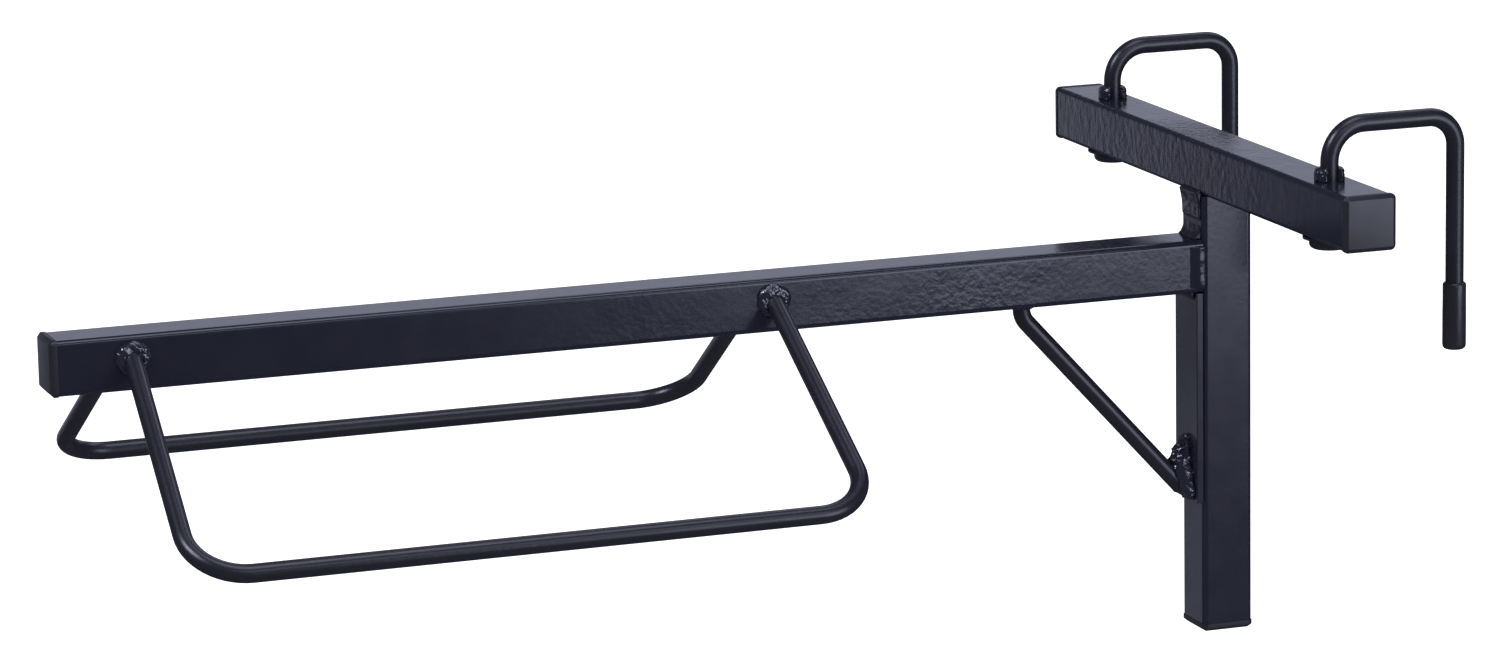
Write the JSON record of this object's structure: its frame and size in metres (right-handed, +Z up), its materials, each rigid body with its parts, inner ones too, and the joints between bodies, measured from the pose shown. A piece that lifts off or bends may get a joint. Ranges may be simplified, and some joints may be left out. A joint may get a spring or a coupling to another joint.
{
  "type": "hook-over saddle rack",
  "caption": "Portable steel rack that hooks over a partition's top edge and carries a saddle on a square-tube arm with sloping bent-rod wings.",
  "frame": {"origin": "mid-width, on the back plane of the post and beam, level with the underside of the hooks' top runs, where the partition's top edge sits", "axes": "+Z up; +Y from the rack towards the partition, so the arm points along -Y; +X to the right of someone who faces the rack"},
  "size_m": [0.399, 0.756, 0.3165],
  "materials": {
    "powder_coat": "gloss black powder coat with fine orange peel",
    "weld_coat": "gloss black powder coat over crumpled weld beads",
    "cap_plastic": "satin black moulded plastic",
    "tip_rubber": "matt black dipped rubber"
  },
  "bodies": {
    "root": {"arm_tube": "powder_coat", "post_tube": "powder_coat", "cross_beam": "powder_coat", "backing_plate": "powder_coat", "brace_rod": "powder_coat", "wing_left": "powder_coat", "wing_right": "powder_coat", "hook_left": "powder_coat", "hook_right": "powder_coat", "hook_washers": "powder_coat", "hook_cap_nuts": "powder_coat", "arm_weld": "weld_coat", "post_weld": "weld_coat", "brace_top_weld": "weld_coat", "brace_foot_weld": "weld_coat", "wing_welds": "weld_coat", "hook_welds": "weld_coat", "arm_end_cap": "cap_plastic", "post_end_cap": "cap_plastic", "beam_cap_left": "cap_plastic", "beam_cap_right": "cap_plastic", "hook_tip_left": "tip_rubber", "hook_tip_right": "tip_rubber"}
  },
  "joints": []
}
